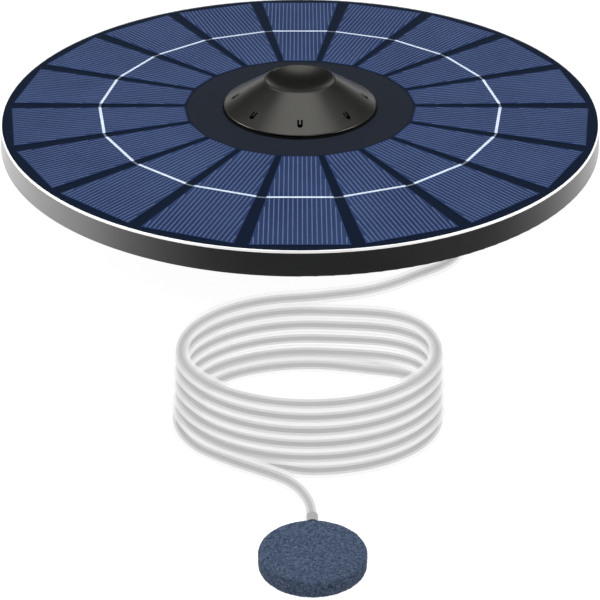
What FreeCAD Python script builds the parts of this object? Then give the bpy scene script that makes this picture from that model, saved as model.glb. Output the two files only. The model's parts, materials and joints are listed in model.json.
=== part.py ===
"""Solar floating pond aerator: a round solar float with a diaphragm air pump, airline and air stone.

Millimetres, +Z up.  The origin is on the Z axis of the disc, in the plane that the pump housing
stands on.  The airline leaves the housing, passes under the rim and lies coiled in front (-Y) of it.
"""
import FreeCAD
import Part
import math
import os

from FreeCAD import Vector

os.makedirs("parts", exist_ok=True)

# ---------------------------------------------------------------- driving dimensions
DISC_RADIUS = 140.0          # float rim, at its widest
EDGE_RADIUS = 139.1          # float rim, at its top edge
PANEL_TOP = 38.6             # face of the solar cells above the surface it stands on
RIM_BOTTOM = 27.3            # underside of the float
TRAY_TOP = 37.6              # flat top of the float, which carries the panel board
TRAY_WALL = 2.0
TRAY_OPENING = 46.0          # radius of the hole in the float over the pump housing

BOARD_RADIUS = 138.6
BOARD_TOP = 38.4
BOARD_HOLE = 20.0            # air passage under the hub
CELL_COUNT = 18
CELL_INNER = 53.7            # apothem of the cells' inner edges
CELL_OUTER = 133.7           # apothem of the cells' outer edges
CELL_GAP_INNER = 2.7
CELL_GAP_OUTER = 6.2
BUSBAR_APOTHEM = 92.9
BUSBAR_WIDTH = 1.3
BUSBAR_THICK = 0.08

HUB_BASE_RADIUS = 35.8
HUB_BASE = 39.0              # the cone's lower lip stands on the gasket
HUB_TOP = 52.4               # crown of the rounded edge around the dished top
CONE_LOW = (35.4, 40.1)      # straight stretch of the cone's face, radius and height
CONE_HIGH = (17.0, 52.0)
GASKET_RADIUS = 36.4
GASKET_HOLE = 24.0
HUB_SCREW_RADIUS = 29.5
HUB_SCREW_ANGLES = (22.5, 112.5, 202.5, 292.5)
VENT_COUNT = 8
VENT_RADIUS = 30.4           # from the axis to the middle of each vent
VENT_WIDTH = 2.5
VENT_LENGTH = 4.2

HOUSING_FLOOR = 2.5
HOUSING_FOOT_RADIUS = 51.0
HOUSING_TOP_RADIUS = 54.0
FLANGE_RADIUS = 63.5
FLANGE_BOTTOM = 24.8
FLANGE_SCREW_RADIUS = 59.3
FLANGE_SCREWS = 6
O_RING_RADIUS = 56.0
O_RING_SECTION = 1.9

MOTOR_X = -16.0
AXIS_Z = 16.0                # height of the motor shaft
MOTOR_RADIUS = 12.0
MOTOR_REAR = -30.0
SHAFT_RADIUS = 1.0
BUSH_CLEARANCE = 0.05
PUMP_Y = 11.0                # centre of the diaphragm chamber along the shaft
PUMP_SIDE = 22.0             # the pump block is square in plan
ECCENTRIC_THROW = 0.6
ECCENTRIC_RADIUS = 3.5

BATTERY_X = 17.0
BATTERY_Z = 13.4
BATTERY_RADIUS = 9.2
BATTERY_START = -29.0
BATTERY_LENGTH = 65.0

BUTTON_X = 37.0
BUTTON_RADIUS = 3.9
BUTTON_CLEARANCE = 0.1

AIRLINE = 6.0                # outside diameter of the airline
AIRLINE_BORE = 4.0
OUTLET_ANGLE = -45.0
OUTLET_Z = 14.0
OUTLET_EXIT = 59.0           # distance from the Z axis at which the airline starts

COIL_CENTRE = (3.3, -200.9)
COIL_SEMI_X = 47.9           # centreline of the wound airline
COIL_SEMI_Y = 35.0
COIL_HEIGHT = 36.0

STONE_CENTRE = (4.2, -283.0)
STONE_SEMI_X = 18.2
STONE_SEMI_Y = 16.5
STONE_HEIGHT = 6.5
STONE_EDGE = 1.0
STONE_INLET_Z = 3.25

# Airline route from the outlet to the back of the coil, then from the coil to the stone.
LEAD_ROUTE = [
    (41.7, -41.7, 14.0),
    (52.5, -52.5, 14.0),
    (62.5, -66.0, 13.6),
    (68.6, -82.5, 13.8),
    (68.0, -99.0, 15.0),
    (60.5, -112.0, 16.8),
    (49.5, -123.5, 19.4),
    (38.0, -137.3, 22.8),
    (26.0, -150.0, 26.9),
    (14.5, -159.1, 30.9),
    (3.5, -165.2, 33.2),
]
TAIL_ROUTE = [
    (-21.4, -231.3, 3.0),
    (-9.0, -237.5, 3.0),
    (-1.5, -243.0, 3.0),
    (3.2, -252.0, 3.0),
    (4.2, -260.0, 3.1),
    (4.2, -266.4, 3.25),
]

Z_AXIS = Vector(0, 0, 1)
Y_AXIS = Vector(0, 1, 0)
ORIGIN = Vector(0, 0, 0)


# ---------------------------------------------------------------- helpers
def save(node, *solids):
    """Write one node, as one solid or a group of separate solids."""
    shape = solids[0] if len(solids) == 1 else Part.makeCompound(list(solids))
    if not shape.isValid():
        raise RuntimeError("invalid shape in " + node)
    shape.exportStep("parts/" + node + ".step")


def rod(radius, start, end):
    """Cylinder between two points."""
    start = Vector(*start)
    along = Vector(*end) - start
    return Part.makeCylinder(radius, along.Length, start, along)


def upright(radius, x, y, z_low, z_high):
    return Part.makeCylinder(radius, z_high - z_low, Vector(x, y, z_low), Z_AXIS)


def washer(outer, inner, z_low, z_high):
    return upright(outer, 0, 0, z_low, z_high).cut(upright(inner, 0, 0, z_low - 1, z_high + 1))


def block(x_low, x_high, y_low, y_high, z_low, z_high):
    corner = Vector(x_low, y_low, z_low)
    return Part.makeBox(x_high - x_low, y_high - y_low, z_high - z_low, corner)


def turned(outline):
    """Solid of revolution about Z.  Each outline entry is (r, z), or (r, z, 'arc', mid_r, mid_z)
    for a point that is reached by an arc through the middle point."""
    edges = []
    previous = outline[-1]
    for entry in outline:
        start = Vector(previous[0], 0, previous[1])
        end = Vector(entry[0], 0, entry[1])
        if len(entry) > 2:
            middle = Vector(entry[3], 0, entry[4])
            edges.append(Part.Arc(start, middle, end).toShape())
        elif (end - start).Length > 1e-6:
            edges.append(Part.LineSegment(start, end).toShape())
        previous = entry
    face = Part.Face(Part.Wire(edges))
    return face.revolve(ORIGIN, Z_AXIS, 360)


def polar(radius, degrees, z=0.0):
    angle = math.radians(degrees)
    return Vector(radius * math.cos(angle), radius * math.sin(angle), z)


def around(shape, degrees):
    """Copy of a shape turned about the Z axis."""
    copy = shape.copy()
    copy.rotate(ORIGIN, Z_AXIS, degrees)
    return copy


def merged(first, *others):
    result = first
    for other in others:
        result = result.fuse(other)
    return result.removeSplitter()


def flexible(route, diameter, label):
    """Round tube along straight runs joined by arcs that are as large as their runs allow."""
    points = [Vector(*p) for p in route]
    edges = []
    radii = []
    start = points[0]
    for before, corner, after in zip(points, points[1:], points[2:]):
        arrive = corner - before
        leave = after - corner
        turn = arrive.getAngle(leave)
        shorter = min(arrive.Length, leave.Length)
        radius = 0.45 * shorter / math.tan(turn / 2)
        setback = 0.45 * shorter
        first = corner - arrive.normalize() * setback
        last = corner + leave.normalize() * setback
        bisector = (last - corner).normalize() + (first - corner).normalize()
        bisector.normalize()
        middle = corner + bisector * (radius / math.cos(turn / 2) - radius)
        edges.append(Part.LineSegment(start, first).toShape())
        edges.append(Part.Arc(first, middle, last).toShape())
        radii.append(radius)
        start = last
    edges.append(Part.LineSegment(start, points[-1]).toShape())
    path = Part.Wire(edges)
    heading = points[1] - points[0]
    section = Part.Wire(Part.makeCircle(diameter / 2, points[0], heading))
    tube = path.makePipeShell([section], True, False)
    expected = math.pi * diameter ** 2 / 4 * path.Length
    print("%s: length %.1f, volume ratio %.4f, radii %s" % (
        label, path.Length, tube.Volume / expected, ", ".join("%.0f" % r for r in radii)))
    return tube


def ellipse_prism(centre, semi_x, semi_y, z_low, z_high):
    """Upright prism on an ellipse, long in X or in Y, about a point (x, y)."""
    ellipse = Part.Ellipse(Vector(centre[0], centre[1], z_low), semi_x, semi_y)
    face = Part.Face(Part.Wire(ellipse.toShape()))
    return face.extrude(Vector(0, 0, z_high - z_low))


# ---------------------------------------------------------------- float and panel
def float_tray():
    corner = 0.4
    low_outer = DISC_RADIUS - corner
    mid = corner * (1 - math.sqrt(0.5))
    ledge = EDGE_RADIUS - 6.0
    inner_wall = DISC_RADIUS - TRAY_WALL - 0.6
    floor_top = RIM_BOTTOM + TRAY_WALL
    collar_top = floor_top + 3.7
    tray = turned([
        (TRAY_OPENING, RIM_BOTTOM),
        (low_outer, RIM_BOTTOM),
        (DISC_RADIUS, RIM_BOTTOM + corner, "arc", DISC_RADIUS - mid, RIM_BOTTOM + mid),
        (EDGE_RADIUS, TRAY_TOP),
        (ledge, TRAY_TOP),
        (ledge, TRAY_TOP - 1.0),
        (inner_wall, TRAY_TOP - 3.0),
        (inner_wall, floor_top),
        (TRAY_OPENING + TRAY_WALL, floor_top),
        (TRAY_OPENING + TRAY_WALL, collar_top),
        (TRAY_OPENING, collar_top),
    ])
    for index in range(FLANGE_SCREWS):
        spot = polar(FLANGE_SCREW_RADIUS, flange_angle(index))
        tray = tray.fuse(upright(3.4, spot.x, spot.y, floor_top, floor_top + 4.7))
    tray = tray.removeSplitter()
    for index in range(FLANGE_SCREWS):
        spot = polar(FLANGE_SCREW_RADIUS, flange_angle(index))
        tray = tray.cut(upright(1.5, spot.x, spot.y, RIM_BOTTOM - 1, RIM_BOTTOM + 5.2))
    return tray


def flange_angle(index):
    return 15.0 + index * 360.0 / FLANGE_SCREWS


def panel_board():
    board = washer(BOARD_RADIUS, BOARD_HOLE, TRAY_TOP, BOARD_TOP)
    for angle in HUB_SCREW_ANGLES:
        spot = polar(HUB_SCREW_RADIUS, angle)
        board = board.cut(upright(1.6, spot.x, spot.y, TRAY_TOP - 1, BOARD_TOP + 1))
    return board


def cell_half_width(apothem):
    along = (apothem - CELL_INNER) / (CELL_OUTER - CELL_INNER)
    gap = CELL_GAP_INNER + along * (CELL_GAP_OUTER - CELL_GAP_INNER)
    return apothem * math.tan(math.pi / CELL_COUNT) - gap / 2


def trapezium(inner, outer, half_inner, half_outer, z_low, z_high):
    """Flat piece across the -Y direction, between two distances from the axis."""
    corners = [(-half_inner, -inner), (half_inner, -inner), (half_outer, -outer), (-half_outer, -outer)]
    points = [Vector(x, y, z_low) for x, y in corners]
    outline = Part.makePolygon(points + points[:1])
    return Part.Face(outline).extrude(Vector(0, 0, z_high - z_low))


def solar_cells():
    cell = trapezium(CELL_INNER, CELL_OUTER, cell_half_width(CELL_INNER),
                     cell_half_width(CELL_OUTER), BOARD_TOP, PANEL_TOP)
    return [around(cell, index * 360.0 / CELL_COUNT) for index in range(CELL_COUNT)]


def busbar_ribbons():
    inner = BUSBAR_APOTHEM - BUSBAR_WIDTH / 2
    outer = BUSBAR_APOTHEM + BUSBAR_WIDTH / 2
    ribbon = trapezium(inner, outer, cell_half_width(inner), cell_half_width(outer),
                       PANEL_TOP, PANEL_TOP + BUSBAR_THICK)
    return [around(ribbon, index * 360.0 / CELL_COUNT) for index in range(CELL_COUNT)]


def cell_links():
    """Thin links on the board that carry the ribbons across the gaps between cells."""
    width = 0.9
    half_gap = BUSBAR_APOTHEM * math.tan(math.pi / CELL_COUNT) - cell_half_width(BUSBAR_APOTHEM)
    radius = BUSBAR_APOTHEM / math.cos(math.pi / CELL_COUNT)
    inner = radius - width / 2 - 0.25
    half = half_gap - 0.2
    link = trapezium(inner, inner + width, half, half, BOARD_TOP, BOARD_TOP + 0.1)
    return [around(link, (index + 0.5) * 360.0 / CELL_COUNT) for index in range(CELL_COUNT)]


def edge_seal():
    """White trim: a narrow band that stands on the float around the edge of the board."""
    top = PANEL_TOP + 0.1
    return turned([
        (BOARD_RADIUS, TRAY_TOP),
        (EDGE_RADIUS, TRAY_TOP),
        (EDGE_RADIUS, top - 0.15),
        (EDGE_RADIUS - 0.15, top, "arc", EDGE_RADIUS - 0.04, top - 0.04),
        (BOARD_RADIUS, top),
    ])


# ---------------------------------------------------------------- hub
def hub_cone():
    shell = turned([
        (HUB_BASE_RADIUS - 2.2, HUB_BASE),
        (HUB_BASE_RADIUS - 0.9, HUB_BASE),
        (HUB_BASE_RADIUS, HUB_BASE + 0.8),
        (CONE_LOW[0], CONE_LOW[1], "arc", HUB_BASE_RADIUS - 0.09, HUB_BASE + 1.05),
        CONE_HIGH,
        (16.3, HUB_TOP, "arc", 16.7, HUB_TOP - 0.14),
        (15.8, HUB_TOP - 0.2, "arc", 16.05, HUB_TOP - 0.02),
        (3.0, 48.8, "arc", 9.3, 49.6),
        (0.0, 48.8),
        (0.0, 47.0),
        (4.0, 47.0),
        (15.0, 49.4),
        (16.6, 49.8),
        (HUB_BASE_RADIUS - 2.2, HUB_BASE + 0.6),
    ])
    outside = turned([(0, HUB_BASE), (33.6, HUB_BASE), (33.6, HUB_BASE + 1.2), (17.2, 50.3), (0, 50.3)])
    for angle in HUB_SCREW_ANGLES:
        spot = polar(HUB_SCREW_RADIUS, angle)
        boss = upright(3.2, spot.x, spot.y, HUB_BASE, PANEL_TOP + 6).common(outside)
        shell = shell.fuse(boss)
    shell = shell.removeSplitter()
    for angle in HUB_SCREW_ANGLES:
        spot = polar(HUB_SCREW_RADIUS, angle)
        shell = shell.cut(upright(1.5, spot.x, spot.y, HUB_BASE - 1, HUB_BASE + 3.4))
    for index in range(VENT_COUNT):
        shell = shell.cut(around(vent_cutter(), index * 360.0 / VENT_COUNT))
    return shell


def vent_cutter():
    """U-shaped slot square to the cone's face at -Y: a rounded slot around a small tongue."""
    slope = math.degrees(math.atan2(CONE_HIGH[1] - CONE_LOW[1], CONE_LOW[0] - CONE_HIGH[0]))
    half = VENT_WIDTH / 2
    depth = 5.0
    low = -VENT_LENGTH / 2 + half
    slot = block(-half, half, low, VENT_LENGTH / 2, -depth, depth)
    slot = slot.fuse(Part.makeCylinder(half, 2 * depth, Vector(0, low, -depth), Z_AXIS))
    tongue = block(-0.4, 0.4, low + 0.6, VENT_LENGTH / 2, -depth, depth)
    cutter = slot.cut(tongue).removeSplitter()
    cutter.rotate(ORIGIN, Vector(1, 0, 0), slope)
    height = CONE_LOW[1] + (CONE_LOW[0] - VENT_RADIUS) * math.tan(math.radians(slope))
    cutter.translate(Vector(0, -VENT_RADIUS, height))
    return cutter


def hub_gasket():
    gasket = washer(GASKET_RADIUS, GASKET_HOLE, BOARD_TOP, HUB_BASE)
    for angle in HUB_SCREW_ANGLES:
        spot = polar(HUB_SCREW_RADIUS, angle)
        gasket = gasket.cut(upright(1.6, spot.x, spot.y, BOARD_TOP - 1, HUB_BASE + 1))
    return gasket


def hub_screws():
    """Pan-head screws from below, through the board and gasket into the cone's bosses."""
    screws = []
    for angle in HUB_SCREW_ANGLES:
        spot = polar(HUB_SCREW_RADIUS, angle)
        head = upright(2.8, spot.x, spot.y, TRAY_TOP - 2.0, TRAY_TOP)
        screws.append(merged(head, upright(1.5, spot.x, spot.y, TRAY_TOP, HUB_BASE + 3.2)))
    return screws


# ---------------------------------------------------------------- pump housing
def outlet_point(distance, z=OUTLET_Z):
    return polar(distance, OUTLET_ANGLE, z)


def outlet_rod(radius, start, end):
    return rod(radius, outlet_point(start), outlet_point(end))


def pump_housing():
    cup = turned([
        (0, 0),
        (HOUSING_FOOT_RADIUS - 3, 0),
        (HOUSING_FOOT_RADIUS, 3, "arc", HOUSING_FOOT_RADIUS - 0.88, 0.88),
        (HOUSING_TOP_RADIUS - 0.3, FLANGE_BOTTOM),
        (FLANGE_RADIUS, FLANGE_BOTTOM),
        (FLANGE_RADIUS, RIM_BOTTOM),
        (HOUSING_TOP_RADIUS - 2.4, RIM_BOTTOM),
        (HOUSING_FOOT_RADIUS - 2.2, 3.5),
        (HOUSING_FOOT_RADIUS - 3.2, HOUSING_FLOOR),
        (0, HOUSING_FLOOR),
    ])
    cup = cup.fuse(outlet_rod(7.0, 48.2, 55.0))
    for y in (-13.5, 13.5):
        cup = cup.fuse(upright(2.5, BUTTON_X, y, HOUSING_FLOOR - 0.5, 9.0))
    cup = cup.removeSplitter()
    cup = cup.cut(outlet_rod(7.0, 44.0, 48.2))
    cup = cup.cut(outlet_rod(3.0, 44.0, 60.0))
    groove = O_RING_SECTION / 2 + 0.15
    cup = cup.cut(washer(O_RING_RADIUS + groove, O_RING_RADIUS - groove,
                         RIM_BOTTOM - O_RING_SECTION, RIM_BOTTOM + 1))
    for index in range(FLANGE_SCREWS):
        spot = polar(FLANGE_SCREW_RADIUS, flange_angle(index))
        cup = cup.cut(upright(1.6, spot.x, spot.y, FLANGE_BOTTOM - 1, RIM_BOTTOM + 1))
    for y in (-13.5, 13.5):
        cup = cup.cut(upright(1.0, BUTTON_X, y, 4.0, 10.0))
    cup = cup.cut(upright(BUTTON_RADIUS + BUTTON_CLEARANCE, BUTTON_X, 0, -1, HOUSING_FLOOR + 1))
    return cup.cut(upright(8.0, BUTTON_X, 0, -1, 0.6))


def housing_o_ring():
    return Part.makeTorus(O_RING_RADIUS, O_RING_SECTION / 2, Vector(0, 0, RIM_BOTTOM - O_RING_SECTION / 2))


def housing_screws():
    screws = []
    for index in range(FLANGE_SCREWS):
        spot = polar(FLANGE_SCREW_RADIUS, flange_angle(index))
        head = upright(2.8, spot.x, spot.y, FLANGE_BOTTOM - 2.0, FLANGE_BOTTOM)
        shank = upright(1.5, spot.x, spot.y, FLANGE_BOTTOM, RIM_BOTTOM + 5.0)
        slot = block(spot.x - 1.8, spot.x + 1.8, spot.y - 0.35, spot.y + 0.35,
                     FLANGE_BOTTOM - 2.5, FLANGE_BOTTOM - 1.2)
        cross = block(spot.x - 0.35, spot.x + 0.35, spot.y - 1.8, spot.y + 1.8,
                      FLANGE_BOTTOM - 2.5, FLANGE_BOTTOM - 1.2)
        screws.append(merged(head, shank).cut(slot).cut(cross))
    return screws


def outlet_elbow():
    """Barb fitting: an upright stub inside the housing and a stem that the airline pushes onto."""
    inner = 43.0
    stub = outlet_point(inner)
    elbow = merged(
        outlet_rod(2.5, inner, 46.2),
        outlet_rod(5.0, 45.2, 47.2),
        outlet_rod(3.0, 47.2, OUTLET_EXIT),
        outlet_rod(AIRLINE_BORE / 2, OUTLET_EXIT, OUTLET_EXIT + 8),
        Part.makeSphere(2.5, stub),
        upright(2.5, stub.x, stub.y, OUTLET_Z, 20.0),
        upright(1.5, stub.x, stub.y, 20.0, 24.5),
    )
    elbow = elbow.cut(outlet_rod(1.2, inner, OUTLET_EXIT + 9))
    return elbow.cut(upright(1.0, stub.x, stub.y, OUTLET_Z, 26.0))


def outlet_seal():
    return outlet_rod(5.0, 47.2, 48.2).cut(outlet_rod(3.0, 46.0, 50.0))


def outlet_nut():
    across = 5.0 / math.cos(math.pi / 6)
    corners = [Vector(across * math.cos(math.radians(60 * k)), across * math.sin(math.radians(60 * k)), 0)
               for k in range(6)]
    nut = Part.Face(Part.makePolygon(corners + corners[:1])).extrude(Vector(0, 0, 3.2))
    nut.rotate(ORIGIN, Y_AXIS, 90)
    nut.rotate(ORIGIN, Z_AXIS, OUTLET_ANGLE)
    nut.translate(outlet_point(55.0))
    return nut.cut(outlet_rod(3.0, 54.0, 60.0))


# ---------------------------------------------------------------- motor
def along_shaft(radius, y_low, y_high, x=MOTOR_X, z=AXIS_Z):
    return Part.makeCylinder(radius, y_high - y_low, Vector(x, y_low, z), Y_AXIS)


def motor_can():
    can = along_shaft(MOTOR_RADIUS, MOTOR_REAR, 0)
    can = can.cut(along_shaft(MOTOR_RADIUS - 0.8, MOTOR_REAR - 1, -1.2))
    return can.cut(along_shaft(2.5, -5, 1))


def motor_endbell():
    bell = along_shaft(MOTOR_RADIUS - 0.8, MOTOR_REAR, MOTOR_REAR + 2.5)
    for side in (-1, 1):
        x = MOTOR_X + side * 8.6
        bell = bell.fuse(block(x - 1.2, x + 1.2, -28.0, -24.4, AXIS_Z - 1.6, AXIS_Z + 1.6))
        tab = MOTOR_X + side * 6.0
        bell = bell.fuse(block(tab - 0.9, tab + 0.9, -32.5, -29.0, AXIS_Z - 0.3, AXIS_Z + 0.3))
    return bell.removeSplitter().cut(along_shaft(2.5, -31, -26))


def motor_magnets():
    sleeve = along_shaft(MOTOR_RADIUS - 0.8, -22, -9).cut(along_shaft(9.6, -23, -8))
    magnets = []
    for side in (-1, 1):
        near = MOTOR_X + side * 4.5
        far = MOTOR_X + side * 14.0
        magnets.append(sleeve.common(block(min(near, far), max(near, far), -23, -8, 2, 30)))
    return magnets


def motor_bushes():
    bore = SHAFT_RADIUS + BUSH_CLEARANCE
    spans = ((MOTOR_REAR, MOTOR_REAR + 3.0), (-3.0, 0.0))
    return [along_shaft(2.5, low, high).cut(along_shaft(bore, low - 1, high + 1)) for low, high in spans]


def carbon_brushes():
    brushes = []
    for side in (-1, 1):
        near = MOTOR_X + side * 3.1
        far = MOTOR_X + side * 7.4
        brushes.append(block(min(near, far), max(near, far), -26.5, -24.6, AXIS_Z - 1.2, AXIS_Z + 1.2))
    return brushes


def rotor_shaft():
    return along_shaft(SHAFT_RADIUS, MOTOR_REAR - 1.0, PUMP_Y + 3.5)


def armature_core():
    core = along_shaft(9.0, -22, -9)
    for index in range(3):
        slot = block(MOTOR_X - 1.3, MOTOR_X + 1.3, -23, -8, AXIS_Z + 3.5, AXIS_Z + 10)
        slot.rotate(Vector(MOTOR_X, 0, AXIS_Z), Y_AXIS, index * 120.0)
        core = core.cut(slot)
    return core.cut(along_shaft(SHAFT_RADIUS, -23, -8))


def armature_windings():
    rings = []
    for low, high in ((-24.0, -22.0), (-9.0, -6.5)):
        rings.append(along_shaft(7.6, low, high).cut(along_shaft(2.2, low - 1, high + 1)))
    return rings


def commutator():
    return along_shaft(3.0, -26.8, -24.3).cut(along_shaft(SHAFT_RADIUS, -28, -23))


def motor_cradle():
    saddle = block(MOTOR_X - 9, MOTOR_X + 9, -25, -6, HOUSING_FLOOR, 8.5)
    return saddle.cut(along_shaft(MOTOR_RADIUS, -27, -4))


# ---------------------------------------------------------------- diaphragm pump
def pump_block(z_low, z_high):
    half = PUMP_SIDE / 2
    return block(MOTOR_X - half, MOTOR_X + half, PUMP_Y - half, PUMP_Y + half, z_low, z_high)


def corner_spots():
    reach = PUMP_SIDE / 2 - 2.2
    return [(MOTOR_X + sx * reach, PUMP_Y + sy * reach) for sx in (-1, 1) for sy in (-1, 1)]


def with_corner_holes(shape, z_low, z_high, radius=1.0):
    for x, y in corner_spots():
        shape = shape.cut(upright(radius, x, y, z_low, z_high))
    return shape


def pump_body():
    body = pump_block(5.0, 26.0)
    body = body.cut(upright(8.6, MOTOR_X, PUMP_Y, 8.0, 27.0))
    body = body.cut(along_shaft(2.0, -1, PUMP_Y))
    return with_corner_holes(body, 20.0, 27.0)


def diaphragm():
    sheet = pump_block(26.0, 27.0).cut(upright(1.0, MOTOR_X, PUMP_Y, 25, 28))
    return with_corner_holes(sheet, 25.0, 28.0)


def port_x(side):
    return MOTOR_X + side * 4.5


def valve_plate():
    plate = pump_block(27.0, 31.0)
    plate = plate.cut(upright(7.5, MOTOR_X, PUMP_Y, 26.0, 29.6))
    for side in (-1, 1):
        plate = plate.cut(upright(1.2, port_x(side), PUMP_Y, 29.0, 32.0))
    return with_corner_holes(plate, 26.0, 32.0)


def valve_flaps():
    intake = upright(2.2, port_x(-1), PUMP_Y, 29.2, 29.6)
    outlet = upright(2.2, port_x(1), PUMP_Y, 31.0, 31.4)
    return [intake, outlet]


def pump_head():
    x = port_x(1)
    nipple_z = 33.2
    head = merged(pump_block(31.0, 36.0), rod(1.5, (x, 1.0, nipple_z), (x, -5.0, nipple_z)))
    for side in (-1, 1):
        head = head.cut(upright(3.4, port_x(side), PUMP_Y, 30.0, 34.4))
    head = head.cut(rod(0.9, (x, PUMP_Y, nipple_z), (x, -6.0, nipple_z)))
    head = head.cut(upright(1.5, port_x(-1), PUMP_Y, 34.0, 37.0))
    head = with_corner_holes(head, 30.0, 37.0)
    return with_corner_holes(head, 34.6, 37.0, 2.0)


def head_screws():
    return [merged(upright(1.0, x, y, 21.0, 34.6), upright(1.9, x, y, 34.6, 35.9))
            for x, y in corner_spots()]


def pump_grommets():
    spots = [(MOTOR_X + sx * 7, PUMP_Y + sy * 7) for sx in (-1, 1) for sy in (-1, 1)]
    return [upright(2.6, x, y, HOUSING_FLOOR, 5.0) for x, y in spots]


def eccentric():
    low = PUMP_Y - 2.5
    high = PUMP_Y + 2.5
    disc = along_shaft(ECCENTRIC_RADIUS, low, high, z=AXIS_Z - ECCENTRIC_THROW)
    return disc.cut(along_shaft(SHAFT_RADIUS, low - 1, high + 1))


def conrod():
    centre_z = AXIS_Z - ECCENTRIC_THROW
    eye = along_shaft(5.0, PUMP_Y - 2.2, PUMP_Y + 2.2, z=centre_z)
    stem = block(MOTOR_X - 1.8, MOTOR_X + 1.8, PUMP_Y - 1.8, PUMP_Y + 1.8, centre_z + 4.2, 25.2)
    pad = upright(4.5, MOTOR_X, PUMP_Y, 24.8, 26.0)
    rodding = merged(eye, stem, pad)
    bore = ECCENTRIC_RADIUS + BUSH_CLEARANCE
    rodding = rodding.cut(along_shaft(bore, PUMP_Y - 3, PUMP_Y + 3, z=centre_z))
    return rodding.cut(upright(1.0, MOTOR_X, PUMP_Y, 22.5, 27))


def diaphragm_clamp():
    return merged(upright(4.0, MOTOR_X, PUMP_Y, 27.0, 27.8), upright(1.0, MOTOR_X, PUMP_Y, 22.5, 27.0))


def delivery_tube():
    stub = outlet_point(43.0)
    route = [
        (stub.x, stub.y, 20.0),
        (stub.x, stub.y, 28.5),
        (20.0, -35.5, 32.8),
        (2.0, -37.0, 33.2),
        (-10.5, -27.0, 33.2),
        (port_x(1), -0.3, 33.2),
    ]
    return flexible(route, 5.0, "delivery_tube")


# ---------------------------------------------------------------- battery, board and wiring
def battery_cell():
    end = BATTERY_START + BATTERY_LENGTH
    body = along_shaft(BATTERY_RADIUS, BATTERY_START, end - 1, x=BATTERY_X, z=BATTERY_Z)
    tip = along_shaft(2.8, end - 1, end, x=BATTERY_X, z=BATTERY_Z)
    return merged(body, tip)


def battery_holder():
    end = BATTERY_START + BATTERY_LENGTH
    low_x = BATTERY_X - 9
    high_x = BATTERY_X + 9
    top = 16.0
    floor = block(low_x, high_x, BATTERY_START - 2, end + 2, HOUSING_FLOOR, BATTERY_Z - BATTERY_RADIUS)
    front = block(low_x, high_x, BATTERY_START - 2, BATTERY_START - 0.5, HOUSING_FLOOR, top)
    back = block(low_x, high_x, end + 0.5, end + 2, HOUSING_FLOOR, top)
    return merged(floor, front, back)


def battery_contacts():
    end = BATTERY_START + BATTERY_LENGTH
    contacts = []
    for low in (BATTERY_START - 0.5, end):
        plate = block(BATTERY_X - 4, BATTERY_X + 4, low, low + 0.5, 8.0, 18.0)
        tab = block(BATTERY_X + 2, BATTERY_X + 4, low, low + 0.5, 18.0, 24.0)
        contacts.append(merged(plate, tab))
    return contacts


def control_board():
    board = block(29.0, 45.0, -17.0, 17.0, 9.0, 10.6)
    for y in (-13.5, 13.5):
        board = board.cut(upright(1.0, BUTTON_X, y, 8, 12))
    return board


def board_screws():
    return [merged(upright(2.0, BUTTON_X, y, 10.6, 12.0), upright(1.0, BUTTON_X, y, 4.5, 10.6))
            for y in (-13.5, 13.5)]


def board_components():
    return [
        block(30.0, 36.0, -10.5, -5.5, 10.6, 15.6),
        block(38.5, 44.5, -10.5, -5.5, 10.6, 15.6),
        block(30.0, 36.0, 5.5, 10.5, 10.6, 15.6),
        upright(3.0, 41.0, 7.5, 10.6, 19.5),
        block(31.0, 36.0, -3.0, 3.0, 10.6, 14.0),
        block(38.5, 43.5, -2.5, 2.5, 10.6, 12.2),
    ]


def motor_leads():
    leads = []
    for side in (-1, 1):
        x = MOTOR_X + side * 6.0
        end_x = 33.0 + side * 1.5
        rise = 26.0 + side * 1.5
        route = [
            (x, -33.1, AXIS_Z),
            (x + 3.0, -35.5, 21.5),
            (2.0, -31.5 + side, rise),
            (18.0, -19.0 + side, rise + 0.6),
            (end_x - 2.0, -10.5, 22.5),
            (end_x, -8.0, 15.6),
        ]
        leads.append(flexible(route, 1.2, "motor_lead"))
    return leads


def battery_leads():
    end = BATTERY_START + BATTERY_LENGTH
    front = [
        (BATTERY_X + 3, BATTERY_START - 0.25, 24.0),
        (BATTERY_X + 5, BATTERY_START + 2.0, 27.0),
        (30.0, -19.0, 25.5),
        (38.0, -11.5, 21.5),
        (40.0, -8.0, 15.6),
    ]
    back = [
        (BATTERY_X + 3, end + 0.25, 24.0),
        (BATTERY_X + 6, end - 4.0, 27.5),
        (33.0, 19.0, 27.0),
        (42.0, 2.0, 25.0),
        (43.0, -7.0, 21.0),
        (43.0, -8.0, 15.6),
    ]
    return [flexible(front, 1.2, "battery_lead"), flexible(back, 1.2, "battery_lead")]


def panel_leads():
    leads = []
    for side in (-1, 1):
        x = 33.0 + side * 1.5
        route = [(x - 3.0, 2.0, TRAY_TOP), (x - 2.5, 3.0, 31.0), (x - 0.5, 7.0, 24.0), (x, 8.0, 15.6)]
        leads.append(flexible(route, 1.2, "panel_lead"))
    return leads


def power_switch():
    body = block(BUTTON_X - 3, BUTTON_X + 3, -3, 3, 5.4, 9.0)
    return merged(body, upright(1.7, BUTTON_X, 0, 4.6, 5.4))


def power_button():
    return merged(
        upright(BUTTON_RADIUS, BUTTON_X, 0, 0.6, HOUSING_FLOOR),
        upright(5.2, BUTTON_X, 0, HOUSING_FLOOR, 3.3),
        upright(1.7, BUTTON_X, 0, 3.3, 3.5),
    )


# ---------------------------------------------------------------- airline and stone
def airline_coil():
    """Outer shape of the wound turns, as one closed ring."""
    half = AIRLINE / 2
    outer = ellipse_prism(COIL_CENTRE, COIL_SEMI_X + half, COIL_SEMI_Y + half, 0, COIL_HEIGHT)
    inner = ellipse_prism(COIL_CENTRE, COIL_SEMI_X - half, COIL_SEMI_Y - half, -1, COIL_HEIGHT + 1)
    return outer.cut(inner)


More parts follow.
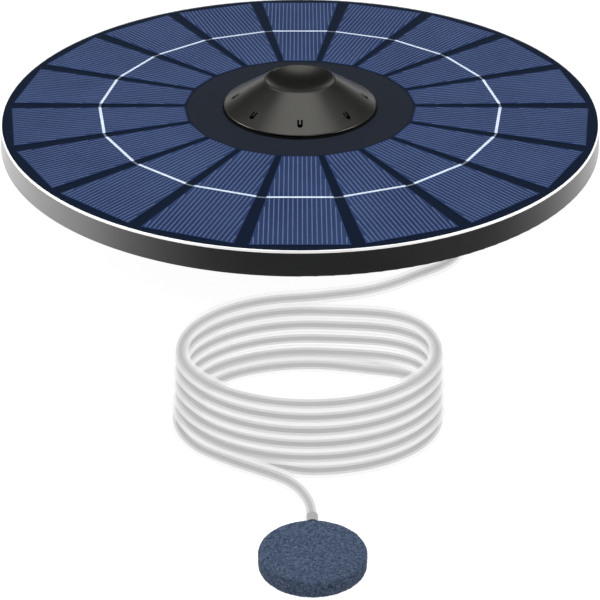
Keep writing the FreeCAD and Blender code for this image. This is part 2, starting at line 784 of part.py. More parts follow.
def air_stone():
    x, y = STONE_CENTRE
    stone = ellipse_prism(STONE_CENTRE, STONE_SEMI_X, STONE_SEMI_Y, 0, STONE_HEIGHT)
    stone = stone.makeFillet(STONE_EDGE, [e for e in stone.Edges if e.isClosed()])
    back = y + STONE_SEMI_Y
    return stone.cut(rod(2.6, (x, back - 6, STONE_INLET_Z), (x, back + 2, STONE_INLET_Z)))


def stone_nipple():
    """Barb set in the stone; the airline is pushed over it up to the stone's edge."""
    x = STONE_CENTRE[0]
    back = STONE_CENTRE[1] + STONE_SEMI_Y
    return merged(
        rod(2.6, (x, back - 6, STONE_INLET_Z), (x, back - 0.1, STONE_INLET_Z)),
        rod(AIRLINE_BORE / 2, (x, back - 0.1, STONE_INLET_Z), (x, back + 5.5, STONE_INLET_Z)),
    )


# ---------------------------------------------------------------- write every node
save("float_tray", float_tray())
save("foam_float_ring", washer(132.0, 64.0, RIM_BOTTOM + TRAY_WALL + 0.1, TRAY_TOP - 0.3))
save("panel_board", panel_board())
save("edge_seal", edge_seal())
save("solar_cells", *solar_cells())
save("busbar_ribbons", *busbar_ribbons())
save("cell_links", *cell_links())
save("hub_gasket", hub_gasket())
save("hub_cone", hub_cone())
save("hub_screws", *hub_screws())
save("air_filter_pad", upright(23.2, 0, 0, BOARD_TOP, BOARD_TOP + 4.5))
save("pump_housing", pump_housing())
save("housing_o_ring", housing_o_ring())
save("housing_screws", *housing_screws())
save("outlet_elbow", outlet_elbow())
save("outlet_seal", outlet_seal())
save("outlet_nut", outlet_nut())
save("motor_can", motor_can())
save("motor_endbell", motor_endbell())
save("motor_magnets", *motor_magnets())
save("motor_bushes", *motor_bushes())
save("carbon_brushes", *carbon_brushes())
save("motor_cradle", motor_cradle())
save("rotor_shaft", rotor_shaft())
save("armature_core", armature_core())
save("armature_windings", *armature_windings())
save("commutator", commutator())
save("eccentric", eccentric())
save("conrod", conrod())
save("diaphragm_clamp", diaphragm_clamp())
save("diaphragm", diaphragm())
save("pump_body", pump_body())
save("valve_plate", valve_plate())
save("valve_flaps", *valve_flaps())
save("pump_head", pump_head())
save("head_screws", *head_screws())
save("pump_grommets", *pump_grommets())
save("delivery_tube", delivery_tube())
save("battery_cell", battery_cell())
save("battery_holder", battery_holder())
save("battery_contacts", *battery_contacts())
save("control_board", control_board())
save("board_components", *board_components())
save("board_screws", *board_screws())
save("motor_leads", *motor_leads())
save("battery_leads", *battery_leads())
save("panel_leads", *panel_leads())
save("power_switch", power_switch())
save("power_button", power_button())
save("air_tube_lead", flexible(LEAD_ROUTE, AIRLINE, "air_tube_lead"))
save("air_tube_coil", airline_coil())
save("air_tube_tail", flexible(TAIL_ROUTE, AIRLINE, "air_tube_tail"))
save("air_stone", air_stone())
save("stone_nipple", stone_nipple())
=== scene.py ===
"""Looks for the solar floating pond aerator.  Metres, in the CAD model's own frame, except the
airline's route and coil, which are written in millimetres as in the CAD source."""

import json
import math

import bmesh
import bpy
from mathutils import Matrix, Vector, noise


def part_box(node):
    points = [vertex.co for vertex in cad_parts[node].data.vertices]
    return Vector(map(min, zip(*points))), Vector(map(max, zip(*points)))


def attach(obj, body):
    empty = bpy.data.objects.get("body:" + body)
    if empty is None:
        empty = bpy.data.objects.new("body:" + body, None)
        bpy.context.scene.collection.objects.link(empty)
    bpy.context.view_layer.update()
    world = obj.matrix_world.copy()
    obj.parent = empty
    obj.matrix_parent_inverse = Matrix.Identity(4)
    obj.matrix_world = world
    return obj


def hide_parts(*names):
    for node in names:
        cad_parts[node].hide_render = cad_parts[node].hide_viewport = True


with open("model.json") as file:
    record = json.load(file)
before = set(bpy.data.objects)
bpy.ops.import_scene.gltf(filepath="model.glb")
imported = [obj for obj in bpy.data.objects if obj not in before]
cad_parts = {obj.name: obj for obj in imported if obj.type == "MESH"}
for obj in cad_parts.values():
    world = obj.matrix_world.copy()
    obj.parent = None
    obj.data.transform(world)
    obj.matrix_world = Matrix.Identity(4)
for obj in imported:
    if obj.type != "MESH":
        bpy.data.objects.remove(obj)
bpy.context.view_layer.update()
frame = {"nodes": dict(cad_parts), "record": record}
NODES = frame["nodes"]
scene = bpy.context.scene
scene.view_settings.view_transform = "Standard"

MM = 0.001
PANEL_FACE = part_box("solar_cells")[1].z
DISC_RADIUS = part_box("float_tray")[1].x
STONE_LOW, STONE_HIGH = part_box("air_stone")


# ---------------------------------------------------------------- camera
ELEVATION = math.radians(24.44)    # of the camera, seen from the middle of the panel
DISTANCE = 5.458 * DISC_RADIUS
PANEL_HEIGHT = 38.0 * MM
LOOK_DOWN = 31.28                  # degrees below the horizon: past the disc, towards the coil
LENS, SENSOR = 96.7, 36.0
CLIP_NEAR, CLIP_FAR = 0.05, 50


def place_camera():
    data = bpy.data.cameras.new("camera")
    data.lens = LENS
    data.sensor_width = SENSOR
    data.clip_start = CLIP_NEAR
    data.clip_end = CLIP_FAR
    camera = bpy.data.objects.new("camera", data)
    scene.collection.objects.link(camera)
    height = PANEL_HEIGHT + DISTANCE * math.sin(ELEVATION)
    camera.location = (0, -DISTANCE * math.cos(ELEVATION), height)
    camera.rotation_euler = (math.radians(90 - LOOK_DOWN), 0, 0)
    scene.camera = camera


place_camera()


# ---------------------------------------------------------------- airline
LEAD_ROUTE = [
    (41.7, -41.7, 14.0),
    (52.5, -52.5, 14.0),
    (62.5, -66.0, 13.6),
    (68.6, -82.5, 13.8),
    (68.0, -99.0, 15.0),
    (60.5, -112.0, 16.8),
    (49.5, -123.5, 19.4),
    (38.0, -137.3, 22.8),
    (26.0, -150.0, 26.9),
    (14.5, -159.1, 30.9),
    (3.5, -165.2, 33.2),
]
TAIL_ROUTE = [
    (-21.4, -231.3, 3.0),
    (-9.0, -237.5, 3.0),
    (-1.5, -243.0, 3.0),
    (3.2, -252.0, 3.0),
    (4.2, -260.0, 3.1),
    (4.2, -266.4, 3.25),
]
TUBE = 6.0
# radii of the dark core and its halo, painted shade along the tube's middle
CORE_SHADE_RADIUS, SHADE_HALO_RADIUS = 0.8, 1.7
PASSES = 6
FIFTH, SIXTH = 4, 5          # passes, counted from 0 at the top
TURNS = 6.38                 # the six passes and the last run down the left side
TURN_POINTS = 36
COIL_CENTRE = (3.3, -200.95)
COIL_SEMI = (47.1, 35.75)    # of the top pass; lower passes are wider and less deep
SPREAD = 0.05                # by this much for each millimetre further down
DROP_START = (0.81, 0.807, 0.804, 0.8, 0.76)       # where each pass drops, in shares of its turn
DROP_END = (0.985, 0.984, 0.983, 0.98, 0.945)
TUCK_START, TUCK_LENGTH = 0.115, 0.13              # where the sixth pass moves in at the left
UNTUCK_START, UNTUCK_LENGTH = 0.415, 0.08          # and out again at the front
SWING_OUT, SWING_BACK = 6.4, 5.6                   # of the last run, past the wall and in beside it


def smooth(x):
    x = min(max(x, 0.0), 1.0)
    return x * x * (3 - 2 * x)


def coil_point(turns):
    """Centre of the airline after so many turns from the back of the coil, wound from the top down.
    Each pass drops gently to the next level at the back right, the fifth a little sooner.  The sixth
    lies on the floor already, so at the back right it swings out past the wall instead.  The last run
    goes down the left side, beside the sixth pass, which is tucked in there, and leaves for the stone."""
    wound = int(turns)
    part = turns - wound
    top = TUBE * (PASSES - 0.5)
    level = top - TUBE * wound
    shift = 0.0
    if wound < FIFTH:
        level -= TUBE * smooth((part - DROP_START[wound]) / (DROP_END[wound] - DROP_START[wound]))
    else:
        length = DROP_END[FIFTH] - DROP_START[FIFTH]
        swing = math.pi / 2 * smooth((part - DROP_START[FIFTH]) / length)
        tucked = smooth((part - TUCK_START) / TUCK_LENGTH)
        if wound == FIFTH:
            level -= TUBE * (1 - math.cos(swing))
        elif wound == SIXTH:
            untucked = smooth((part - UNTUCK_START) / UNTUCK_LENGTH)
            shift = -TUBE * (tucked - untucked) + SWING_OUT * math.sin(swing)
        else:
            level = TUBE / 2
            shift = SWING_OUT - SWING_BACK * tucked
    widen = SPREAD * (top - level)
    angle = 2 * math.pi * part
    x = COIL_CENTRE[0] - (COIL_SEMI[0] + widen + shift) * math.sin(angle)
    y = COIL_CENTRE[1] + (COIL_SEMI[1] - widen + shift) * math.cos(angle)
    return (x, y, level)


def airline_points():
    count = int(TURNS * TURN_POINTS)
    coil = [coil_point(index / TURN_POINTS) for index in range(1, count + 1)]
    return LEAD_ROUTE + coil + TAIL_ROUTE


def airline_curve(name, radius):
    """A round tube of this radius along the whole airline, kept out of the paint's reflections."""
    data = bpy.data.curves.new(name, "CURVE")
    data.dimensions = "3D"
    data.resolution_u = 8
    data.bevel_depth = radius * MM
    data.bevel_resolution = 5
    spline = data.splines.new("NURBS")
    points = airline_points()
    spline.points.add(len(points) - 1)
    for target, (x, y, z) in zip(spline.points, points):
        target.co = (x * MM, y * MM, z * MM, 1)
    spline.order_u = 3
    spline.use_endpoint_u = True
    obj = bpy.data.objects.new(name, data)
    obj.visible_glossy = False
    scene.collection.objects.link(obj)
    return obj


airline = airline_curve("airline", TUBE / 2)
# a dark core and a see-through halo round it, painted shade along the tube's middle
core_shade = airline_curve("airline_core_shade", CORE_SHADE_RADIUS)
core_shade_halo = airline_curve("airline_shade_halo", SHADE_HALO_RADIUS)


# ---------------------------------------------------------------- node helpers
class Looks:
    """One procedural material, with short calls for the nodes it is built from."""

    def __init__(self, name, roughness=0.5, metallic=0.0, specular=0.5):
        self.material = bpy.data.materials.new(name)
        self.material.use_nodes = True
        self.tree = self.material.node_tree
        self.shader = self.tree.nodes["Principled BSDF"]
        self.put("Roughness", roughness)
        self.put("Metallic", metallic)
        self.put("Specular IOR Level", specular)
        self.place = self.tree.nodes.new("ShaderNodeTexCoord").outputs["Object"]

    def put(self, socket, value):
        self.shader.inputs[socket].default_value = value

    def glow(self, strength):
        """White light of its own: a painted glow standing for light scattered in the material, or the
        floor's even brightness.
        """
        self.put("Emission Color", (1, 1, 1, 1))
        self.put("Emission Strength", strength)

    def link(self, source, target):
        self.tree.links.new(source, target)

    def noise(self, scale, detail=3.0, rough=0.55, stretch=None):
        node = self.tree.nodes.new("ShaderNodeTexNoise")
        node.inputs["Scale"].default_value = scale
        node.inputs["Detail"].default_value = detail
        node.inputs["Roughness"].default_value = rough
        self.link(self.mapped(stretch), node.inputs["Vector"])
        return node.outputs["Fac"]

    def voronoi(self, scale):
        node = self.tree.nodes.new("ShaderNodeTexVoronoi")
        node.inputs["Scale"].default_value = scale
        self.link(self.place, node.inputs["Vector"])
        return node

    def mapped(self, stretch):
        if stretch is None:
            return self.place
        node = self.tree.nodes.new("ShaderNodeMapping")
        node.inputs["Scale"].default_value = stretch
        self.link(self.place, node.inputs["Vector"])
        return node.outputs["Vector"]

    def ramp(self, source, stops, eased=False):
        """Colour by value; each stop is a position and a colour, or one number for a grey."""
        node = self.tree.nodes.new("ShaderNodeValToRGB")
        if eased:
            node.color_ramp.interpolation = "EASE"
        elements = node.color_ramp.elements
        while len(elements) < len(stops):
            elements.new(0.5)
        for element, (position, color) in zip(elements, stops):
            element.position = position
            element.color = rgba(color)
        self.link(source, node.inputs["Fac"])
        return node.outputs["Color"]

    def mix(self, factor, first, second):
        node = self.tree.nodes.new("ShaderNodeMix")
        node.data_type = "RGBA"
        self.feed(node.inputs["Factor"], factor)
        self.feed(node.inputs["A"], first)
        self.feed(node.inputs["B"], second)
        return node.outputs["Result"]

    def feed(self, socket, value):
        """Link a node's output to a socket, or set the socket to a number or a colour."""
        if hasattr(value, "is_linked"):
            self.link(value, socket)
        elif isinstance(value, (int, float)):
            socket.default_value = value
        else:
            socket.default_value = rgba(value)

    def math(self, operation, first, second=0.0):
        node = self.tree.nodes.new("ShaderNodeMath")
        node.operation = operation
        for socket, value in zip(node.inputs, (first, second)):
            self.feed(socket, value)
        return node.outputs["Value"]

    def radius(self):
        """Distance from the disc's axis."""
        split = self.tree.nodes.new("ShaderNodeSeparateXYZ")
        self.link(self.place, split.inputs["Vector"])
        squares = [self.math("MULTIPLY", split.outputs[axis], split.outputs[axis]) for axis in ("X", "Y")]
        return self.math("SQRT", self.math("ADD", *squares))

    def scaled(self, source, low, high):
        """A 0 to 1 value, spread from low to high."""
        node = self.tree.nodes.new("ShaderNodeMapRange")
        node.inputs["To Min"].default_value = low
        node.inputs["To Max"].default_value = high
        self.link(source, node.inputs["Value"])
        return node.outputs["Result"]

    def color(self, source):
        self.feed(self.shader.inputs["Base Color"], source)

    def rough(self, source):
        self.feed(self.shader.inputs["Roughness"], source)

    def bump(self, source, strength, distance):
        node = self.tree.nodes.new("ShaderNodeBump")
        node.inputs["Strength"].default_value = strength
        node.inputs["Distance"].default_value = distance
        self.link(source, node.inputs["Height"])
        self.link(node.outputs["Normal"], self.shader.inputs["Normal"])


def rgba(color):
    if isinstance(color, (int, float)):
        color = (color, color, color)
    return (*color, 1.0)


def from_srgb(red, green, blue):
    """Linear colour of an 8-bit display colour."""
    def one(value):
        value /= 255
        return value / 12.92 if value <= 0.04045 else ((value + 0.055) / 1.055) ** 2.4
    return tuple(one(v) for v in (red, green, blue))


def shade(color, factor):
    """The colour made darker, or with a factor over 1 paler."""
    return tuple(v * factor for v in color)


# ---------------------------------------------------------------- materials
def painted_shell(name, color, roughness, metallic, dish=None):
    """Satin metallic paint: fine flake, faint orange peel and slightly uneven gloss.  Within the
    radius of a dish the colour is darker: painted shade of the recess."""
    looks = Looks(name, roughness, metallic, 0.4)
    # darker tone, for the random cloud and for the painted shade in the dish
    cloud_and_dish_shade = shade(color, 0.88)
    flake = looks.noise(5200, 1.0)
    cloud = looks.noise(38, 3.0)
    tone = looks.ramp(flake, [(0.3, shade(color, 0.9)), (0.7, shade(color, 1.12))])
    paint = looks.mix(looks.scaled(cloud, 0.0, 0.3), tone, cloud_and_dish_shade)
    # painted shade: the hub's dish is coloured darker
    if dish:
        inside = looks.math("LESS_THAN", looks.radius(), dish)
        paint = looks.mix(inside, paint, cloud_and_dish_shade)
    looks.color(paint)
    looks.rough(looks.scaled(looks.noise(90, 4.0), roughness - 0.04, roughness + 0.04))
    orange_peel = looks.noise(1300, 2.0)
    looks.bump(orange_peel, 0.08, 0.04 * MM)
    return looks.material


def moulded_plastic(name, color, roughness=0.5, specular=0.4, glow=0.0):
    """Moulded plastic with a fine spark-eroded grain, and a painted glow where one is given."""
    looks = Looks(name, roughness, 0.0, specular)
    looks.glow(glow)
    cloud = looks.noise(60, 4.0)
    looks.color(looks.ramp(cloud, [(0.3, shade(color, 0.85)), (0.7, shade(color, 1.12))]))
    looks.rough(looks.scaled(looks.noise(160, 3.0), roughness - 0.07, roughness + 0.07))
    grain = looks.noise(1900, 2.0)
    looks.bump(grain, 0.25, 0.08 * MM)
    return looks.material


def rubber(name, color, roughness=0.7, specular=0.3):
    """Dull rubber, foam, carbon or ferrite: cloudy tone and a fine matt grain."""
    looks = Looks(name, roughness, 0.0, specular)
    cloud = looks.noise(120, 4.0)
    looks.color(looks.ramp(cloud, [(0.25, shade(color, 0.8)), (0.75, shade(color, 1.3))]))
    looks.rough(looks.scaled(looks.noise(300, 3.0), roughness - 0.1, roughness + 0.1))
    grain = looks.noise(2400, 2.0)
    looks.bump(grain, 0.2, 0.06 * MM)
    return looks.material


def metal(name, color, roughness=0.3, stretch=(1, 1, 1)):
    """Bare metal with fine drawing or turning marks, drawn out where the stretch is small."""
    looks = Looks(name, roughness, 1.0, 0.5)
    marks = looks.noise(900, 4.0, stretch=stretch)
    looks.color(looks.ramp(marks, [(0.3, shade(color, 0.86)), (0.7, shade(color, 1.06))]))
    looks.rough(looks.scaled(marks, roughness - 0.08, roughness + 0.1))
    looks.bump(marks, 0.12, 0.04 * MM)
    return looks.material


def printed_silver(name, color):
    """Dull solder or silver paste seen through the clear film: no mirror, slightly blotched."""
    looks = Looks(name, 0.6, 0.0, 0.2)
    blotches = looks.noise(500, 3.0)
    looks.color(looks.ramp(blotches, [(0.3, shade(color, 0.85)), (0.7, shade(color, 1.1))]))
    looks.bump(looks.noise(1800, 2.0), 0.1, 0.03 * MM)
    return looks.material


FILM_ROUGHNESS, FILM_SPECULAR = 0.25, 0.1    # of the clear film over the panel


def cell_silicon():
    """Blue silicon under a clear film, a little uneven in tone from place to place."""
    looks = Looks("cell_silicon", FILM_ROUGHNESS, 0.0, FILM_SPECULAR)
    deep = from_srgb(41, 55, 91)
    pale = from_srgb(49, 65, 102)
    broad = looks.noise(28, 3.0)
    fine = looks.noise(700, 3.0)
    tone = looks.ramp(broad, [(0.3, deep), (0.72, pale)], eased=True)
    looks.color(looks.mix(looks.scaled(fine, 0.0, 0.25), tone, shade(deep, 0.8)))
    looks.bump(looks.noise(1500, 2.0), 0.05, 0.04 * MM)
    return looks.material


def panel_laminate():
    """Dark navy laminate between the cells and at the rim, greyer in the bare ring round the hub."""
    looks = Looks("panel_laminate", FILM_ROUGHNESS, 0.0, FILM_SPECULAR)
    bare_ring = from_srgb(38, 42, 51)
    gap = from_srgb(18, 29, 47)
    border = from_srgb(19, 29, 47)
    share = looks.math("DIVIDE", looks.radius(), DISC_RADIUS)
    tone = looks.ramp(share, [(0.372, bare_ring), (0.39, gap), (0.948, gap), (0.962, border)])
    blotches = looks.scaled(looks.noise(420, 4.0), 0.0, 0.35)
    looks.color(looks.mix(blotches, tone, shade(gap, 0.6)))
    looks.bump(looks.noise(1200, 2.0), 0.05, 0.04 * MM)
    return looks.material


def milky_tube():
    """Translucent airline: a milky wall with a painted glow, white light of its own standing for the
    light it scatters.
    """
    looks = Looks("milky_tube", 0.5, 0.0, 0.2)
    looks.color(looks.ramp(looks.noise(55, 4.0), [(0.3, 0.13), (0.7, 0.17)]))
    looks.put("Alpha", 0.45)
    # painted glow: the wall gives off white light, most of its brightness
    looks.glow(0.74)
    looks.bump(looks.noise(160, 3.0), 0.1, 0.1 * MM)
    return looks.material


def painted_core_shade(name, dark, pale, alpha, glow):
    """Painted shade along the airline's middle: a dark solid core, or a see-through halo round it, each
    with a faint painted glow.
    """
    looks = Looks(name, 0.7, 0.0, 0.1)
    looks.color(looks.ramp(looks.noise(80, 3.0), [(0.3, dark), (0.7, pale)]))
    looks.put("Alpha", alpha)
    looks.glow(glow)
    return looks.material


def sintered_stone():
    """Fused mineral grains: mid blue-grey, with painted shade in the pores and a few pale grains."""
    looks = Looks("sintered_stone", 0.9, 0.0, 0.2)
    grains = looks.voronoi(1500)
    pores = looks.noise(1100, 4.0, 0.7)
    base = looks.ramp(grains.outputs["Color"], [
        (0.0, from_srgb(52, 64, 86)), (0.45, from_srgb(68, 82, 105)), (0.9, from_srgb(88, 102, 124))])
    # painted shade: the pores are coloured darker
    dark = looks.ramp(pores, [(0.36, 1), (0.47, 0)])
    tone = looks.mix(dark, base, from_srgb(30, 38, 54))
    pale = looks.ramp(looks.noise(1700, 2.0), [(0.66, 0), (0.72, 1)])
    looks.color(looks.mix(looks.math("MULTIPLY", pale, 0.6), tone, from_srgb(128, 140, 160)))
    looks.bump(looks.math("ADD", pores, grains.outputs["Distance"]), 0.8, 0.3 * MM)
    return looks.material


# the hub's dish, which gets painted shade, ends at this radius
DISH_RADIUS = 15.9 * MM
MATERIALS = {
    "gunmetal": painted_shell("hub_paint", (0.31, 0.305, 0.285), 0.3, 1.0, dish=DISH_RADIUS),
    "rim": painted_shell("float_paint", (0.30, 0.30, 0.30), 0.3, 0.93),
    "foam": rubber("float_foam", (0.75, 0.75, 0.73), 0.9),
    "panel_navy": panel_laminate(),
    "cell_blue": cell_silicon(),
    "ribbon": printed_silver("tinned_ribbon", (0.66, 0.75, 0.90)),
    "link": printed_silver("link_ribbon", (0.16, 0.19, 0.25)),
    "finger": printed_silver("silver_finger", (0.115, 0.16, 0.30)),
    # the white edge trim carries a painted glow
    "edge_white": moulded_plastic("edge_trim", (0.9, 0.9, 0.89), 0.35, glow=0.3),
    "black_rubber": rubber("black_rubber", (0.018, 0.018, 0.018)),
    "gasket": rubber("gasket_rubber", (0.006, 0.006, 0.006), 0.9, 0.1),
    "screw_steel": metal("screw_steel", (0.62, 0.62, 0.6), 0.35),
    "filter_foam": rubber("filter_foam", (0.06, 0.06, 0.06), 0.95),
    "housing_plastic": moulded_plastic("housing_plastic", (0.035, 0.035, 0.038), 0.5),
    "motor_steel": metal("plated_steel", (0.6, 0.6, 0.58), 0.32, (1, 0.1, 1)),
    "black_plastic": moulded_plastic("black_plastic", (0.02, 0.02, 0.02), 0.45),
    "magnet": rubber("ferrite", (0.09, 0.09, 0.09), 0.8),
    "bronze": metal("bronze", (0.62, 0.42, 0.2), 0.4),
    "carbon": rubber("carbon", (0.03, 0.03, 0.03), 0.6),
    "shaft_steel": metal("ground_steel", (0.72, 0.72, 0.72), 0.22, (1, 0.05, 1)),
    "copper": metal("copper", (0.8, 0.36, 0.16), 0.35, (1, 4, 1)),
    "pump_plastic": moulded_plastic("acetal", (0.72, 0.72, 0.69), 0.45),
    "diaphragm_rubber": rubber("diaphragm_rubber", (0.04, 0.04, 0.04), 0.6),
    "battery_wrap": moulded_plastic("battery_sleeve", (0.05, 0.2, 0.42), 0.3, 0.5),
    "board_green": moulded_plastic("solder_mask", (0.015, 0.13, 0.045), 0.35, 0.5),
    "component_black": moulded_plastic("moulded_epoxy", (0.03, 0.03, 0.03), 0.55),
    "wire_red": rubber("silicone_wire", (0.45, 0.03, 0.02), 0.5),
    "airline": milky_tube(),
    # painted shade along the airline's middle: a halo and a dark core, both faintly glowing
    "core_shade_halo": painted_core_shade("shade_halo_paint", 0.11, 0.13, alpha=0.4, glow=0.16),
    "core_shade": painted_core_shade("painted_core_shade", 0.07, 0.09, alpha=1.0, glow=0.095),
    "stone_blue": sintered_stone(),
}
NODE_LOOKS = {entry["node"]: entry["material_slot"] for entry in frame["record"]["subparts"]}
NODE_LOOKS.update(float_tray="rim", cell_links="link", hub_gasket="gasket")


def dress(obj, look):
    """Give every material slot of an object one finish."""
    slots = obj.data.materials
    for index in range(len(slots)):
        slots[index] = MATERIALS[look]
    if not slots:
        slots.append(MATERIALS[look])


for node, obj in NODES.items():
    dress(obj, NODE_LOOKS[node])


# ---------------------------------------------------------------- mesh helpers
def new_mesh(name, bm, look, smooth_faces=True):
    """Turn a bmesh into an object with one finish."""
    data = bpy.data.meshes.new(name)
    bmesh.ops.recalc_face_normals(bm, faces=bm.faces)
    bm.to_mesh(data)
    bm.free()
    for polygon in data.polygons:
        polygon.use_smooth = smooth_faces
    obj = bpy.data.objects.new(name, data)
    scene.collection.objects.link(obj)
    dress(obj, look)
    return obj


def add_slab(bm, corners, low, high):
    """Thin flat slab on four (x, y) corners."""
    bottom = [bm.verts.new((x, y, low)) for x, y in corners]
    top = [bm.verts.new((x, y, high)) for x, y in corners]
    bm.faces.new(top)
    bm.faces.new(bottom[::-1])
    for index in range(4):
        after = (index + 1) % 4
        bm.faces.new((bottom[index], bottom[after], top[after], top[index]))


def turn(point, angle):
    """The (x, y) point turned about the disc's axis."""
    x, y = point
    return (x * math.cos(angle) - y * math.sin(angle), x * math.sin(angle) + y * math.cos(angle))


# ---------------------------------------------------------------- cell fingers
CELLS = 18
CELL_INNER, CELL_OUTER = 53.7 * MM, 133.7 * MM
GAP_INNER, GAP_OUTER = 2.7 * MM, 6.2 * MM
FINGER_PITCH = 1.98 * MM
FINGER_WIDTH = 0.38 * MM
FINGER_THICKNESS = 0.03 * MM
FINGER_MARGIN = 0.5 * MM     # bare silicon along a cell's edges
SHORTEST_FINGER = 1.0 * MM


def half_width(apothem):
    """Half the width of a cell at this distance from the disc's axis."""
    along = (apothem - CELL_INNER) / (CELL_OUTER - CELL_INNER)
    gap = GAP_INNER + along * (GAP_OUTER - GAP_INNER)
    return apothem * math.tan(math.pi / CELLS) - gap / 2


def cell_fingers():
    """Printed collector lines: parallel to each cell's own centre line, cut off at its slanted sides."""
    bm = bmesh.new()
    slope = (half_width(CELL_OUTER) - half_width(CELL_INNER)) / (CELL_OUTER - CELL_INNER)
    reach = int((half_width(CELL_OUTER) - FINGER_MARGIN) / FINGER_PITCH + 0.5)
    stop = CELL_OUTER - FINGER_MARGIN
    for cell in range(CELLS):
        angle = cell * 2 * math.pi / CELLS
        for index in range(-reach, reach):
            offset = (index + 0.5) * FINGER_PITCH
            edge = abs(offset) + FINGER_WIDTH / 2 + FINGER_MARGIN
            slanted = CELL_INNER + (edge - half_width(CELL_INNER)) / slope
            start = max(CELL_INNER + FINGER_MARGIN, slanted)
            if start >= stop - SHORTEST_FINGER:
                continue
            left = offset - FINGER_WIDTH / 2
            right = offset + FINGER_WIDTH / 2
            outline = [(left, -stop), (right, -stop), (right, -start), (left, -start)]
            corners = [turn(corner, angle) for corner in outline]
            add_slab(bm, corners, PANEL_FACE, PANEL_FACE + FINGER_THICKNESS)
    return new_mesh("cell_fingers", bm, "finger", False)


fingers = cell_fingers()
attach(fingers, "float")


# ---------------------------------------------------------------- air stone
STONE_EDGE = 1.1 * MM        # radius of its rounded edges
STONE_SPOKES = 260
TOP_RINGS, EDGE_RINGS, WALL_RINGS, BASE_RINGS = 41, 6, 10, 12
GRAINS = ((1.9, 0.14), (0.7, 0.09))    # how often for each millimetre, and how high in millimetres
GRAIN_DEPTH = 0.1            # the grains' middle is this far below the smooth shape, in millimetres


def stone_profile():
    """Half outline of the stone, as (share of its half width, height), with small rounded edges."""
    half = (STONE_HIGH.x - STONE_LOW.x) / 2
    height = STONE_HIGH.z
    edge = STONE_EDGE
    flat = half - edge
    points = [(flat * index / TOP_RINGS, height) for index in range(1, TOP_RINGS)]
    for index in range(EDGE_RINGS + 1):
        angle = math.pi / 2 * (1 - index / EDGE_RINGS)
        points.append((flat + edge * math.cos(angle), height - edge + edge * math.sin(angle)))
    for index in range(1, WALL_RINGS):
        points.append((half, height - edge - (height - 2 * edge) * index / WALL_RINGS))
    for index in range(EDGE_RINGS + 1):
        angle = -math.pi / 2 * index / EDGE_RINGS
        points.append((flat + edge * math.cos(angle), edge + edge * math.sin(angle)))
    points += [(flat * (1 - index / BASE_RINGS), 0.0) for index in range(1, BASE_RINGS)]
    return [(distance / half, level) for distance, level in points]


def stone_body():
    """Oval stone with a rough, grainy surface that doesn't go below the floor."""
    centre = (STONE_LOW + STONE_HIGH) / 2
    semi = (STONE_HIGH - STONE_LOW) / 2
    bm = bmesh.new()
    rings = []
    for share, height in stone_profile():
        ring = []
        for step in range(STONE_SPOKES):
            angle = 2 * math.pi * step / STONE_SPOKES
            x = centre.x + share * semi.x * math.cos(angle)
            y = centre.y + share * semi.y * math.sin(angle)
            ring.append(bm.verts.new((x, y, height)))
        rings.append(ring)
    for upper, lower in zip(rings, rings[1:]):
        for step in range(STONE_SPOKES):
            after = (step + 1) % STONE_SPOKES
            bm.faces.new((upper[step], upper[after], lower[after], lower[step]))
    for ring, height in ((rings[0], STONE_HIGH.z), (rings[-1], 0.0)):
        middle = bm.verts.new((centre.x, centre.y, height))
        for step in range(STONE_SPOKES):
            bm.faces.new((ring[step], ring[(step + 1) % STONE_SPOKES], middle))
    bmesh.ops.recalc_face_normals(bm, faces=bm.faces)
    bm.normal_update()
    for vert in bm.verts:
        place = vert.co * 1000
        grain = sum(noise.noise(place * often) * high for often, high in GRAINS) - GRAIN_DEPTH
        vert.co += vert.normal * grain * MM
        vert.co.z = max(vert.co.z, 0.0)
    return new_mesh("air_stone_body", bm, "stone_blue")


stone = stone_body()
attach(stone, "float")
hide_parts("air_stone")

for piece, look in ((airline, "airline"), (core_shade_halo, "core_shade_halo"), (core_shade, "core_shade")):
    dress(piece, look)
    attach(piece, "float")
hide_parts("air_tube_lead", "air_tube_coil", "air_tube_tail")


# ---------------------------------------------------------------- floor and light
FLOOR_REACH = 6
WORLD_STRENGTH = 1.3
# Brightness of the studio, as (position, brightness).
AROUND = (    # from the front, at about 0, to the back, at about 1
    (0.2, 0.015), (0.306, 0.09), (0.445, 0.23), (0.508, 0.33), (0.594, 0.55), (0.735, 0.73), (0.925, 1.0))
UPWARDS = (    # from straight down, at 0, past the horizon, at 0.5
    (0.405, 1.0), (0.435, 0.0), (0.495, 0.0), (0.525, 0.62), (0.55, 0.62), (0.59, 0.12), (0.68, 0.0))
OVERHEAD = (    # from the horizon, at 0, to straight up, at 1
    (0.3, 0.0), (0.36, 0.023), (0.85, 0.023), (0.93, 0.32))
LEAN_BACK, LEAN_LEFT = 0.5, 0.185    # the bright side is at the back, and a little to the left


def floor():
    """White paper floor, lit evenly and kept out of the paint's reflections."""
    bm = bmesh.new()
    bmesh.ops.create_grid(bm, x_segments=1, y_segments=1, size=FLOOR_REACH)
    obj = new_mesh("floor", bm, "edge_white", False)
    looks = Looks("floor_paper", 0.9, 0.0, 0.1)
    looks.color(looks.ramp(looks.noise(8, 3.0), [(0.3, 0.34), (0.7, 0.36)]))
    looks.glow(0.93)
    obj.data.materials[0] = looks.material
    obj.visible_glossy = False


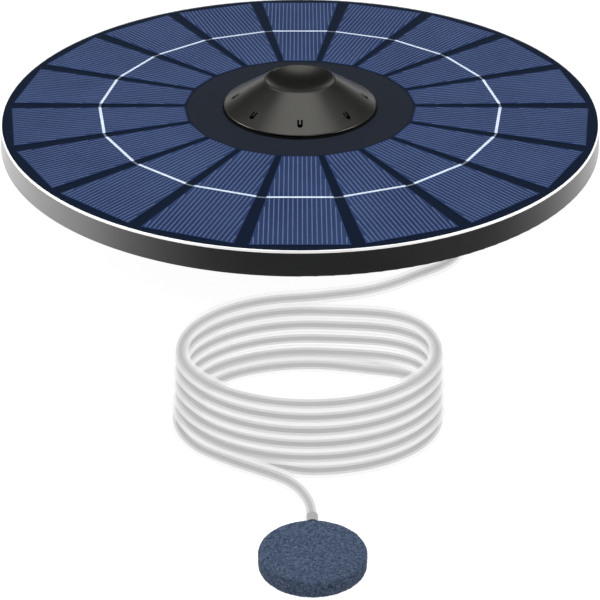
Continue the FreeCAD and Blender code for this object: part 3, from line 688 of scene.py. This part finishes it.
def softbox(name, place, aim, size, power, glossy=True):
    """Soft lamp of this width and depth, shown in reflections or not."""
    data = bpy.data.lights.new(name, "AREA")
    data.shape = "RECTANGLE"
    data.size, data.size_y = size
    data.energy = power
    obj = bpy.data.objects.new(name, data)
    scene.collection.objects.link(obj)
    obj.location = place
    obj.rotation_euler = (Vector(aim) - Vector(place)).to_track_quat("-Z", "Y").to_euler()
    obj.visible_glossy = glossy


def studio_world():
    """Studio as reflections see it: bright low down at the back and on the left, dark in front,
    with a second soft band just above the horizon, dark above that, and a soft panel overhead."""
    world = bpy.data.worlds.new("studio")
    scene.world = world
    world.use_nodes = True
    tree = world.node_tree

    def node(kind):
        return tree.nodes.new("ShaderNode" + kind)

    def combine(operation, first, second):
        made = node("Math")
        made.operation = operation
        for socket, value in zip(made.inputs, (first, second)):
            if isinstance(value, float):
                socket.default_value = value
            else:
                tree.links.new(value, socket)
        return made.outputs["Value"]

    def ramp(source, stops):
        made = node("ValToRGB")
        elements = made.color_ramp.elements
        while len(elements) < len(stops):
            elements.new(0.5)
        for element, (position, value) in zip(elements, stops):
            element.position = position
            element.color = rgba(value)
        tree.links.new(source, made.inputs["Fac"])
        return made.outputs["Color"]

    split = node("SeparateXYZ")
    tree.links.new(node("TexCoord").outputs["Generated"], split.inputs["Vector"])
    x, y, z = (split.outputs[axis] for axis in "XYZ")
    lean = combine("SUBTRACT", combine("MULTIPLY", y, LEAN_BACK), combine("MULTIPLY", x, LEAN_LEFT))
    around = ramp(combine("ADD", lean, 0.5), AROUND)
    upwards = ramp(combine("ADD", combine("MULTIPLY", z, 0.5), 0.5), UPWARDS)
    overhead = ramp(z, OVERHEAD)
    background = tree.nodes["Background"]
    glow = combine("ADD", combine("MULTIPLY", around, upwards), overhead)
    tree.links.new(glow, background.inputs["Color"])
    background.inputs["Strength"].default_value = WORLD_STRENGTH


floor()
studio_world()
softbox("overhead", place=(0, -0.1, 1.3), aim=(0, -0.1, 0), size=(1.6, 1.6), power=22, glossy=False)
softbox("left", place=(-1.2, 0.1, 0.45), aim=(0, 0, 0.04), size=(0.5, 1.2), power=5)
softbox("right", place=(1.2, 0.1, 0.45), aim=(0, 0, 0.04), size=(0.5, 1.2), power=5)
